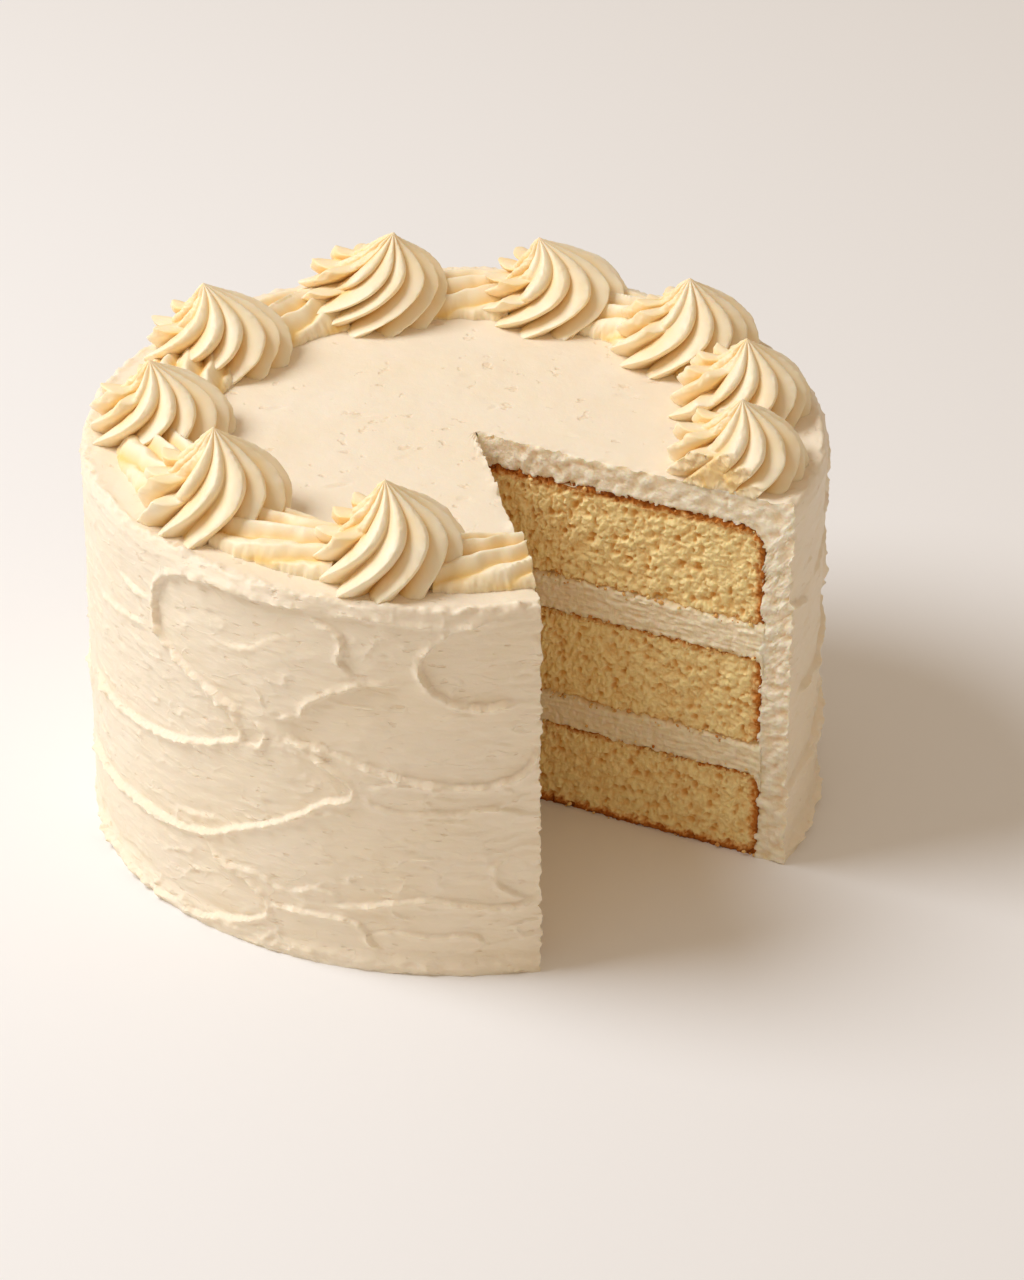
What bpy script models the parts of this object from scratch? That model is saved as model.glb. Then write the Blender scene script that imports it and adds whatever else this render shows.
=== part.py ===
# Frosted three-layer sponge cake with one wedge cut out of it.
# Metres, +Z up. The origin is the centre of the cake's underside; the wedge is missing
# on the -Y, +X side, so both cut faces show the layers.

import bmesh
import bpy
from math import atan2, cos, pi, radians, sin, sqrt, tan
from mathutils import Matrix, Vector

# Cake body
CAKE_RADIUS = 0.1055            # outside of the side coat
CAKE_HEIGHT = 0.116             # flat top of the coat
SPONGE_RADIUS = 0.097           # 8 inch tin, less the shrinkage in baking
TOP_COAT = 0.009                # coat thickness on the top
RIM_RADIUS = 0.003              # rounding between the coat's side and top
SPONGE_BOTTOM = (0.0, 0.027)    # lower and upper face of each layer
FILLING_LOWER = (0.027, 0.037)
SPONGE_MIDDLE = (0.037, 0.065)
FILLING_UPPER = (0.065, 0.076)
SPONGE_TOP = (0.076, CAKE_HEIGHT - TOP_COAT)
SHOULDER = 0.005                # rounded upper edge of the two lower sponges
TOP_SHOULDER = 0.008            # the top sponge is domed more at its edge
TOUCH_GAP = 0.0003              # kept between pieces that touch
TURN_STEPS = 60                 # facets round the cake
ARC_STEPS = 3                   # facets of each rounded edge

# The knife leaves slow waves in the side coat: height, waves round the cake, turns up the side
WALL_WAVES = ((0.00030, 5, 1.0), (0.00022, 9, -2.0), (0.00016, 14, 3.0))
WALL_ROWS = 7                   # rows of facets down the coat's side

# Missing wedge: its point lies a little off the cake's centre
NOTCH_TIP = Vector((0.006, -0.003, 0.0))
NOTCH_LEFT = radians(-79.7)     # direction of the cut face on the -X side
NOTCH_RIGHT = radians(-27.0)    # direction of the cut face on the +X side
NOTCH_REACH = 0.16              # how far the cutter runs out past the rim

# Piped rosettes: polar angle on the ring, crest radius, height, turn of the first ridge,
# twist of the ridges from the foot to the peak, how far the peak leans towards +X
ROSETTE_RING = 0.0828
ROSETTES = (
    (-101.4, 0.0210, 0.0270, 21, 66, -0.0012),
    (-141.9, 0.0210, 0.0272, 12, 66, 0.0003),
    (-179.2, 0.0205, 0.0226, 25, 70, -0.0028),
    (145.8, 0.0214, 0.0236, 8, 72, -0.0045),
    (108.1, 0.0222, 0.0246, 17, 92, 0.0072),
    (69.0, 0.0222, 0.0236, 3, 92, -0.0055),
    (36.2, 0.0214, 0.0240, 28, 70, 0.0010),
    (8.6, 0.0202, 0.0226, 14, 66, 0.0010),
    (-17.2, 0.0202, 0.0221, 6, 62, 0.0010),
)
RIDGES = 12                     # points of the star nozzle's ridges
VALLEY_SHARE = 0.68             # valley radius as a share of the crest radius
VALLEY_PHASE = 0.58             # valley's place between two crests, so ridges lean over
# Outline of a rosette: share of its height, share of its crest radius
ROSETTE_OUTLINE = ((0.0, 0.95), (0.16, 1.0), (0.36, 0.96), (0.55, 0.83),
                   (0.72, 0.62), (0.86, 0.35), (0.95, 0.13))

# Piped bands that run on round the ring between rosettes
BAND_WIDTH = 0.027
BAND_HEIGHT = 0.0085
BAND_RIBS = 4
BAND_VALLEY = 0.58              # valley height as a share of the rib height
BAND_SWEEP_STEP = radians(5)
BANDED_PAIRS = ((0, 1), (1, 2), (2, 3), (3, 4), (4, 5), (5, 6))

CREAM = (0.90, 0.80, 0.62)
CREAM_PIPED = (0.93, 0.82, 0.58)
CREAM_FILLING = (0.87, 0.73, 0.50)
CRUMB = (0.80, 0.60, 0.31)


def fresh_collection(name):
    collection = bpy.data.collections.new(name)
    bpy.context.scene.collection.children.link(collection)
    return collection


def clear_scene():
    for old in list(bpy.data.objects):
        bpy.data.objects.remove(old)


def food_material(name, colour, roughness):
    material = bpy.data.materials.new(name)
    material.use_nodes = True
    shader = material.node_tree.nodes["Principled BSDF"]
    shader.inputs["Base Color"].default_value = (*colour, 1.0)
    shader.inputs["Roughness"].default_value = roughness
    shader.inputs["Metallic"].default_value = 0.0
    return material


def add_object(name, bm, collection, material=None):
    """Turn a bmesh into a named object in a collection."""
    mesh = bpy.data.meshes.new(name)
    bm.to_mesh(mesh)
    bm.free()
    obj = bpy.data.objects.new(name, mesh)
    collection.objects.link(obj)
    if material is not None:
        mesh.materials.append(material)
    return obj


def cut_away(obj, cutter):
    modifier = obj.modifiers.new("cut_" + cutter.name, "BOOLEAN")
    modifier.operation = "DIFFERENCE"
    modifier.solver = "EXACT"
    modifier.object = cutter


def arc(centre_r, centre_z, radius, start, end):
    """Points of a rounded edge in the profile plane, angles in radians."""
    points = []
    for i in range(ARC_STEPS + 1):
        a = start + (end - start) * i / ARC_STEPS
        points.append((centre_r + radius * cos(a), centre_z + radius * sin(a)))
    return points


def profile_bmesh(points):
    """An open chain of edges in the XZ plane."""
    bm = bmesh.new()
    verts = [bm.verts.new((r, 0.0, z)) for r, z in points]
    for a, b in zip(verts, verts[1:]):
        bm.edges.new((a, b))
    return bm


def turned(name, points, collection, material):
    """A solid of revolution from a profile that runs down its outer side."""
    obj = add_object(name, profile_bmesh(points), collection, material)
    screw = obj.modifiers.new("turn", "SCREW")
    screw.axis = "Z"
    screw.angle = 2 * pi
    screw.steps = TURN_STEPS
    screw.render_steps = TURN_STEPS
    screw.use_merge_vertices = True
    screw.merge_threshold = 0.00001
    return obj


def notch_cutter(collection):
    """Three-sided prism whose sharp edge is the point of the missing wedge."""
    half_angle = (NOTCH_RIGHT - NOTCH_LEFT) / 2
    bm = bmesh.new()
    bmesh.ops.create_cone(bm, cap_ends=True, segments=3, radius1=1.0, radius2=1.0,
                          depth=3 * CAKE_HEIGHT)
    # In a unit circle the equilateral prism has its point at +Y, is 1.5 deep and sqrt(3) wide
    point_to_axis = Matrix.Translation((0.0, -1.0, 0.0))
    half_width = NOTCH_REACH * tan(half_angle)
    stretch = Matrix.Diagonal((2 * half_width / sqrt(3), NOTCH_REACH / 1.5, 1.0, 1.0))
    turn = Matrix.Rotation((NOTCH_LEFT + NOTCH_RIGHT) / 2 + pi / 2, 4, "Z")
    bmesh.ops.transform(bm, matrix=turn @ stretch @ point_to_axis, verts=bm.verts)
    cutter = add_object("notch_cutter", bm, collection)
    cutter.location = NOTCH_TIP
    return cutter


def as_cutter(obj):
    obj.display_type = "WIRE"
    obj.hide_render = True
    return obj


def sponge(name, levels, shoulder, lift, collection, material):
    """Sponge layer with a rounded upper edge; lift is the gap to what it sits on."""
    low, high = levels
    low += lift
    points = [(0.0, high)]
    points += arc(SPONGE_RADIUS - shoulder, high - shoulder, shoulder, pi / 2, 0.0)
    points += [(SPONGE_RADIUS, low), (0.0, low)]
    return turned(name, points, collection, material)


def filling(name, levels, shoulder, collection, material):
    """Cream layer whose edge runs down round the sponge below it."""
    low, high = levels
    reach = shoulder + TOUCH_GAP
    lip_z = low - shoulder + sqrt(reach ** 2 - shoulder ** 2)
    points = [(0.0, high), (SPONGE_RADIUS, high), (SPONGE_RADIUS, lip_z)]
    points += arc(SPONGE_RADIUS - shoulder, low - shoulder, reach, pi / 2 / ARC_STEPS, pi / 2)
    points.append((0.0, low + TOUCH_GAP))
    return turned(name, points, collection, material)


def wall_offset(angle, z):
    """How far the knife marks push the side coat in or out."""
    total = 0.0
    for height, waves, rise in WALL_WAVES:
        total += height * sin(waves * angle + rise * 2 * pi * z / CAKE_HEIGHT)
    return total


def frosting_coat(collection, material):
    """The coat over the side and top, hollow where the layers are."""
    top = CAKE_HEIGHT
    inner_r = SPONGE_RADIUS + TOUCH_GAP
    inner_top = CAKE_HEIGHT - TOP_COAT + TOUCH_GAP
    corner = TOP_SHOULDER + TOUCH_GAP
    points = [(0.0, top)]
    points += arc(CAKE_RADIUS - RIM_RADIUS, top - RIM_RADIUS, RIM_RADIUS, pi / 2, 0.0)
    wall_top = top - RIM_RADIUS
    for i in range(1, WALL_ROWS + 1):
        points.append((CAKE_RADIUS, wall_top * (1 - i / WALL_ROWS)))
    points.append((inner_r, 0.0))
    points += arc(inner_r - corner, inner_top - corner, corner, 0.0, pi / 2)
    points.append((0.0, inner_top))
    bm = profile_bmesh(points)
    bmesh.ops.spin(bm, geom=bm.verts[:] + bm.edges[:], axis=(0, 0, 1), cent=(0, 0, 0),
                   angle=2 * pi, steps=TURN_STEPS, use_merge=True)
    bmesh.ops.remove_doubles(bm, verts=bm.verts, dist=0.00001)
    for v in bm.verts:
        radius = v.co.xy.length
        if radius > CAKE_RADIUS - 0.0001:
            angle = atan2(v.co.y, v.co.x)
            v.co.xy *= (radius + wall_offset(angle, v.co.z)) / radius
    bmesh.ops.recalc_face_normals(bm, faces=bm.faces)
    return add_object("frosting_coat", bm, collection, material)


def ring_point(polar):
    return Vector((ROSETTE_RING * cos(polar), ROSETTE_RING * sin(polar), CAKE_HEIGHT + TOUCH_GAP))


def keep_one_side(bm, point, outward):
    """Cut a closed mesh flat at a plane and keep the side that outward points away from."""
    cut = bmesh.ops.bisect_plane(bm, geom=bm.verts[:] + bm.edges[:] + bm.faces[:],
                                 plane_co=point, plane_no=outward, clear_outer=True, dist=0.00001)
    rim = [e for e in cut["geom_cut"] if isinstance(e, bmesh.types.BMEdge)]
    bmesh.ops.edgeloop_fill(bm, edges=rim)


def rosette(index, collection, material):
    """Star-nozzle swirl: a star that is extruded upwards, shrinking and turning as it goes."""
    polar, radius, height, start, twist, lean = ROSETTES[index]
    foot = ring_point(radians(polar))
    leaning = Vector((lean, 0.0, 0.0))
    bm = bmesh.new()
    bmesh.ops.create_circle(bm, cap_ends=True, segments=2 * RIDGES, radius=radius)
    ridge_angle = 2 * pi / RIDGES
    for v in list(bm.verts)[1::2]:
        v.co.xy *= VALLEY_SHARE
        v.co.rotate(Matrix.Rotation((VALLEY_PHASE - 0.5) * ridge_angle, 3, "Z"))
    first_share = ROSETTE_OUTLINE[0][1]
    bmesh.ops.scale(bm, vec=(first_share, first_share, 1.0), verts=bm.verts)
    bmesh.ops.rotate(bm, cent=(0, 0, 0), matrix=Matrix.Rotation(radians(start), 3, "Z"), verts=bm.verts)
    top = bm.faces[:][0]
    for (z0, share0), (z1, share1) in zip(ROSETTE_OUTLINE, ROSETTE_OUTLINE[1:]):
        grown = bmesh.ops.extrude_face_region(bm, geom=[top])["geom"]
        if z0 > 0.0:
            bmesh.ops.delete(bm, geom=[top], context="FACES_ONLY")
        top = [g for g in grown if isinstance(g, bmesh.types.BMFace)][0]
        middle = leaning * z0 ** 2
        shrink = share1 / share0
        bmesh.ops.scale(bm, vec=(shrink, shrink, 1.0), space=Matrix.Translation(-middle),
                        verts=top.verts)
        bmesh.ops.rotate(bm, cent=middle, verts=top.verts,
                         matrix=Matrix.Rotation(radians(twist) * (z1 - z0), 3, "Z"))
        rise = Vector((0.0, 0.0, height * (z1 - z0))) + leaning * (z1 ** 2 - z0 ** 2)
        bmesh.ops.translate(bm, vec=rise, verts=top.verts)
    peak = bmesh.ops.poke(bm, faces=[top])["verts"]
    bmesh.ops.translate(bm, vec=(0.0, 0.0, height * (1 - ROSETTE_OUTLINE[-1][0])), verts=peak)
    bmesh.ops.translate(bm, vec=foot, verts=bm.verts)
    for other in (index - 1, index + 1):
        if 0 <= other < len(ROSETTES):
            towards = ring_point(radians(ROSETTES[other][0])) - foot
            if towards.length < radius + ROSETTES[other][1] + TOUCH_GAP:
                middle = foot + towards * (0.5 - 0.5 * TOUCH_GAP / towards.length)
                keep_one_side(bm, middle, towards.normalized())
    bmesh.ops.recalc_face_normals(bm, faces=bm.faces)
    return add_object("rosette_%d" % (index + 1), bm, collection, material)


def rosette_clearance(index, collection):
    """Upright cylinder just larger than a rosette, which trims the bands beside it."""
    polar, radius = ROSETTES[index][:2]
    bm = bmesh.new()
    bmesh.ops.create_cone(bm, cap_ends=True, segments=40, radius1=radius + 1.5 * TOUCH_GAP,
                          radius2=radius + 1.5 * TOUCH_GAP, depth=4 * BAND_HEIGHT)
    cutter = add_object("clearance_%d" % (index + 1), bm, collection)
    cutter.location = ring_point(radians(polar))
    return as_cutter(cutter)


def band_section():
    """Ribbed outline of a piped band: distance from its middle, height."""
    points = [(-BAND_WIDTH / 2, 0.0)]
    marks = 2 * BAND_RIBS
    for i in range(1, marks):
        across = -1 + 2 * i / marks
        dome = BAND_HEIGHT * sqrt(1 - (0.75 * across) ** 2)
        points.append((across * BAND_WIDTH / 2, dome if i % 2 else dome * BAND_VALLEY))
    points.append((BAND_WIDTH / 2, 0.0))
    return points


def piped_band(name, start, end, collection, material):
    """Ribbed band swept round the ring from one polar angle to another."""
    bm = bmesh.new()
    base_z = CAKE_HEIGHT + TOUCH_GAP
    verts = [bm.verts.new((ROSETTE_RING + x, 0.0, base_z + z)) for x, z in band_section()]
    section = bm.faces.new(verts)
    bmesh.ops.rotate(bm, cent=(0, 0, 0), matrix=Matrix.Rotation(start, 3, "Z"), verts=bm.verts)
    steps = max(2, round((end - start) / BAND_SWEEP_STEP))
    bmesh.ops.spin(bm, geom=[section], axis=(0, 0, 1), cent=(0, 0, 0), angle=end - start, steps=steps)
    bmesh.ops.remove_doubles(bm, verts=bm.verts, dist=0.00001)
    bmesh.ops.recalc_face_normals(bm, faces=bm.faces)
    return add_object(name, bm, collection, material)


def build():
    clear_scene()
    cake = fresh_collection("layer_cake")
    cutters = fresh_collection("cutters")
    notch = as_cutter(notch_cutter(cutters))

    sponges = (
        sponge("sponge_bottom", SPONGE_BOTTOM, SHOULDER, 0.0, cake,
               food_material("sponge_bottom", CRUMB, 0.85)),
        sponge("sponge_middle", SPONGE_MIDDLE, SHOULDER, TOUCH_GAP, cake,
               food_material("sponge_middle", CRUMB, 0.85)),
        sponge("sponge_top", SPONGE_TOP, TOP_SHOULDER, TOUCH_GAP, cake,
               food_material("sponge_top", CRUMB, 0.85)),
    )
    fillings = (
        filling("filling_lower", FILLING_LOWER, SHOULDER, cake,
                food_material("filling_lower", CREAM_FILLING, 0.5)),
        filling("filling_upper", FILLING_UPPER, SHOULDER, cake,
                food_material("filling_upper", CREAM_FILLING, 0.5)),
    )
    coat = frosting_coat(cake, food_material("frosting_coat", CREAM, 0.5))
    for layer in (*sponges, *fillings, coat):
        cut_away(layer, notch)

    swirls = []
    clearances = []
    for i in range(len(ROSETTES)):
        swirls.append(rosette(i, cake, food_material("rosette_%d" % (i + 1), CREAM_PIPED, 0.45)))
        clearances.append(rosette_clearance(i, cutters))
    cut_away(swirls[-1], notch)

    polar = [radians(r[0]) % (2 * pi) for r in ROSETTES]
    first_band = piped_band("piped_band_1", polar[0], NOTCH_LEFT + 2 * pi + 0.05, cake,
                            food_material("piped_band_1", CREAM_PIPED, 0.45))
    cut_away(first_band, notch)
    cut_away(first_band, clearances[0])
    for number, (a, b) in enumerate(BANDED_PAIRS, start=2):
        name = "piped_band_%d" % number
        start, end = polar[b], polar[a]
        if start > end:
            start -= 2 * pi
        band = piped_band(name, start, end, cake, food_material(name, CREAM_PIPED, 0.45))
        cut_away(band, clearances[a])
        cut_away(band, clearances[b])


build()
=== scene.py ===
# Layer cake with one wedge cut out: buttercream coat, piped rosettes and bands, three sponges.
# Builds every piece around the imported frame, in metres, then lights it like a soft studio shot.
import time
from math import cos, pi, radians, sin

import bmesh
import bpy
import numpy as np
from mathutils import Matrix, Vector, noise


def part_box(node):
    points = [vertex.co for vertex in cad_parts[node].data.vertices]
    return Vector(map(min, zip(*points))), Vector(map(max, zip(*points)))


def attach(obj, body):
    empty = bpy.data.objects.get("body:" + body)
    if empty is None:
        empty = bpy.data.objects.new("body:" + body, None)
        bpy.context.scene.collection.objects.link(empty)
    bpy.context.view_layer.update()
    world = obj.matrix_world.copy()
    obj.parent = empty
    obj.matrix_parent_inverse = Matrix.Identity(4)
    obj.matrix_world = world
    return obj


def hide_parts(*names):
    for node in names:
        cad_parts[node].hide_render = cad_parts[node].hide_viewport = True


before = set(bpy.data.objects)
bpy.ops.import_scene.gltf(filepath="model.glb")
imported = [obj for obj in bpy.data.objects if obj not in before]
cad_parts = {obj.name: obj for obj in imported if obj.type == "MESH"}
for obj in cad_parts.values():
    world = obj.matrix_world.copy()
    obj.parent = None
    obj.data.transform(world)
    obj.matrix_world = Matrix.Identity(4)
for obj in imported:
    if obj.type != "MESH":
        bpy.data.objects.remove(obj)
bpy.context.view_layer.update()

mm = 0.001
started = time.time()
coarse = 1.0    # mesh spacing is scaled by this, larger is coarser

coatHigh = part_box("frosting_coat")[1]
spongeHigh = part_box("sponge_bottom")[1]
cake = {
    "radius": 105.5 * mm,              # outside of the side coat, before the knife marks
    "top": coatHigh.z,                 # flat top of the coat
    "spongeRadius": spongeHigh.x,
    "rim": 3.0 * mm,                   # rounding from the side to the top
    "tip": (6.0 * mm, -3.0 * mm),      # point of the missing wedge
    "cutRight": radians(-27.0),        # direction of the right cut face from the tip
    "cutLeft": radians(-79.7),         # direction of the left cut face from the tip
    "tipBlend": 40 * mm,               # inside this radius rings close in on the tip
    "bite": 0.5 * mm,                  # layers reach into each other by this much
    "shoulder": 5.0 * mm,              # rounded upper edge of the two lower sponges
    "topShoulder": 8.0 * mm,           # rounded upper edge of the top sponge
    "weld": 0.005 * mm,                # vertices nearer than this are one
}


def say(stage):
    print("cake: %s (%.1f s)" % (stage, time.time() - started))


def toLinear(hexColour):
    channels = [int(hexColour[i:i + 2], 16) / 255 for i in (1, 3, 5)]
    return tuple(c / 12.92 if c <= 0.04045 else ((c + 0.055) / 1.055) ** 2.4 for c in channels) + (1.0,)


def addNode(tree, kind, settings=(), links=()):
    # a link is given as a socket, or as a node, which stands for its first output
    node = tree.nodes.new("ShaderNode" + kind)
    for key, value in dict(settings).items():
        if key == "stops":  # colour ramp stops, as (place, colour)
            while len(node.color_ramp.elements) < len(value):
                node.color_ramp.elements.new(0.5)
            for element, (place, colour) in zip(node.color_ramp.elements, value):
                element.position = place
                element.color = colour
        elif isinstance(key, str) and hasattr(node, key):
            setattr(node, key, value)
        else:
            node.inputs[key].default_value = value
    for key, source in dict(links).items():
        tree.links.new(getattr(source, "outputs", (source,))[0], node.inputs[key])
    return node


def smoothStep(low, high, x):
    t = np.clip((x - low) / (high - low), 0.0, 1.0)
    return t * t * (3 - 2 * t)


def lumps(points, size, octaves=2, shift=0.0):
    # soft lumps of the given size, about -1 to 1
    scaled = points / np.asarray(size) + shift
    return np.array([noise.fractal(p, 0.8, 2.1, octaves) for p in scaled.tolist()])


def readPoints(mesh):
    co = np.empty(len(mesh.vertices) * 3, np.float32)
    mesh.vertices.foreach_get("co", co)
    return co.reshape(-1, 3).astype(float)


def writePoints(mesh, points):
    mesh.vertices.foreach_set("co", points.astype(np.float32).ravel())
    mesh.update()


def paintValue(mesh, name, values):
    attribute = mesh.attributes.new(name, "FLOAT", "POINT")
    attribute.data.foreach_set("value", np.asarray(values, np.float32))


def freshMesh(name, bm):
    mesh = bpy.data.meshes.new(name)
    bm.to_mesh(mesh)
    bm.free()
    return mesh


def addPiece(mesh, materials, sharpFrom=None):
    # put a finished mesh in the scene; edges bent by more than sharpFrom degrees are shaded sharp
    for material in materials:
        mesh.materials.append(material)
    mesh.shade_smooth()
    if sharpFrom is not None:
        mesh.set_sharp_from_angle(angle=radians(sharpFrom))
    piece = bpy.data.objects.new(mesh.name, mesh)
    bpy.context.scene.collection.objects.link(piece)
    return piece


def settle(piece, slot, *nodes):
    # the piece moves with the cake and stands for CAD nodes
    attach(piece, "root")
    if nodes:
        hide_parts(*nodes)


def seat(rho, turn):
    # turn runs from 0 at the right cut face, round the back, to 1 at the left cut face
    tip = np.array(cake["tip"])
    closing = smoothStep(0, cake["tipBlend"], rho)
    centre = tip * (1 - closing)[:, None]
    ends = []
    for direction in (cake["cutRight"], cake["cutLeft"]):
        d = np.array([cos(direction), sin(direction)])
        along = closing * (tip @ d)
        reach = -along + np.sqrt(np.maximum(along ** 2 - (closing ** 2) * (tip @ tip) + rho ** 2, 0))
        end = tip + reach[:, None] * d - centre
        ends.append(np.arctan2(end[:, 1], end[:, 0]))
    right, left = ends
    left = np.where(left < right, left + 2 * pi, left)
    angle = right + (left - right) * turn
    return centre + rho[:, None] * np.stack([np.cos(angle), np.sin(angle)], 1), angle


def cutNormal(turn):
    # out of the cake into the missing wedge, for the cut face nearer to this turn
    right = np.array([sin(cake["cutRight"]), -cos(cake["cutRight"])])
    left = np.array([-sin(cake["cutLeft"]), cos(cake["cutLeft"])])
    return np.where((turn < 0.5)[:, None], right, left)


def spunWedge(name, alongSteps, acrossSteps, turnSteps, hidden=()):
    # unit section (along = x - 1, across = z) spun through one radian, with both cut faces closed;
    # the edges named in hidden (across = 0 or 1) lie inside the cake and get only a few points
    bm = bmesh.new()
    bmesh.ops.create_grid(bm, x_segments=alongSteps, y_segments=acrossSteps, size=0.5)
    bmesh.ops.rotate(bm, cent=(0, 0, 0), matrix=Matrix.Rotation(pi / 2, 3, "X"), verts=bm.verts)
    bmesh.ops.translate(bm, vec=(1.5, 0, 0.5), verts=bm.verts)
    for v in bm.verts:
        if any(abs(v.co.z - side) < 0.0001 for side in hidden):
            v.co.x = 1 + round((v.co.x - 1) * alongSteps / 8) * 8 / alongSteps
            v.co.x = min(v.co.x, 2.0)
    bmesh.ops.remove_doubles(bm, verts=bm.verts, dist=0.00002)
    rim = [edge for edge in bm.edges if edge.is_boundary]
    copied = bmesh.ops.duplicate(bm, geom=bm.verts[:] + bm.edges[:] + bm.faces[:])["geom"]
    farVerts = [g for g in copied if isinstance(g, bmesh.types.BMVert)]
    bmesh.ops.rotate(bm, cent=(0, 0, 0), matrix=Matrix.Rotation(1.0, 3, "Z"), verts=farVerts)
    ends = set(bm.faces)
    bmesh.ops.spin(bm, geom=rim, axis=(0, 0, 1), cent=(0, 0, 0), angle=1.0, steps=turnSteps)
    for face in bm.faces:
        face.material_index = 1 if face in ends else 0
    bmesh.ops.remove_doubles(bm, verts=bm.verts, dist=0.00002)
    bmesh.ops.recalc_face_normals(bm, faces=bm.faces)
    mesh = freshMesh(name, bm)
    # where every vertex lies along, across and round the wedge, from 0 to 1
    co = readPoints(mesh)
    along = np.clip(np.hypot(co[:, 0], co[:, 1]) - 1, 0, 1)
    across = np.clip(co[:, 2], 0, 1)
    turn = np.clip(np.arctan2(co[:, 1], co[:, 0]), 0, 1)
    return mesh, along, across, turn


def shapeWedge(mesh, xy, z, **values):
    # move the vertices to their places, store what the materials read and close the seams
    writePoints(mesh, np.column_stack([xy, z]))
    for name, value in values.items():
        paintValue(mesh, name, value)
    bm = bmesh.new()
    bm.from_mesh(mesh)
    bmesh.ops.remove_doubles(bm, verts=bm.verts, dist=cake["weld"])
    bmesh.ops.recalc_face_normals(bm, faces=bm.faces)
    bm.to_mesh(mesh)
    bm.free()


def axisGap(xy):
    # distance from the cake's axis, never quite 0
    return np.maximum(np.hypot(xy[:, 0], xy[:, 1]), 1e-6)[:, None]


def thinOut(piece, trianglesLeft):
    # decimate flat stretches so that the relief keeps the fine triangles
    triangles = sum(len(p.vertices) - 2 for p in piece.data.polygons)
    if triangles > trianglesLeft:
        decimate = piece.modifiers.new("thin", "DECIMATE")
        decimate.ratio = trianglesLeft / triangles
        evaluated = piece.evaluated_get(bpy.context.evaluated_depsgraph_get())
        thinned = bpy.data.meshes.new_from_object(evaluated)
        piece.modifiers.clear()
        piece.data = thinned


def foodMaterial(name, settings):
    # every food here is a rough dielectric that lets some light in below its surface
    material = bpy.data.materials.new(name)
    material.use_nodes = True
    tree = material.node_tree
    shader = tree.nodes["Principled BSDF"]
    for key, value in settings.items():
        shader.inputs[key].default_value = value
    place = addNode(tree, "TexCoord").outputs["Object"]
    return material, tree, place


def coverFood(material, colour, normal):
    # give the food its colour and its fine relief
    shader = material.node_tree.nodes["Principled BSDF"]
    material.node_tree.links.new(colour, shader.inputs["Base Color"])
    material.node_tree.links.new(normal, shader.inputs["Normal"])
    return material


def perMetre(size):
    # texture scale for a feature of this real size
    return 1.0 / size


def grainRelief(tree, place, size, detail, strength, depth, under=()):
    # noise of a real grain size, as a bump over the relief under it, and the noise itself
    grain = addNode(tree, "TexNoise", {"Scale": perMetre(size), "Detail": detail}, {"Vector": place})
    bump = addNode(tree, "Bump", {"Strength": strength, "Distance": depth},
                   {"Height": grain, **dict(under)})
    return bump.outputs[0], grain


butter = {
    "coat": toLinear("#F5E9D5"),       # smoothed coat, a pale warm ivory
    "coatWarm": toLinear("#F3E2C4"),   # slightly yellower patches where the coat is thin
    "pitShade": toLinear("#D9A866"),      # painted shade in the air pits, darker and golden
    "piped": toLinear("#FCEDD1"),      # crests of the piping
    "pipedDeep": toLinear("#F8D286"),  # golden light trapped between the ridges
    "cut": toLinear("#FCF1DA"),        # freshly cut cream, paler and rougher
    # painted shade, mixed in where the torn cream lies low in its craters
    "cutDeep": toLinear("#F2D6A6"),
    "filling": toLinear("#F8EACB"),
    # painted shade where the filling's cut face lies low
    "fillingDeep": toLinear("#EACB91"),
    "grain": 0.55 * mm,                # powdered sugar grain
    "drag": 3.0 * mm,                  # length of the fine drag marks the knife leaves
}


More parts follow.
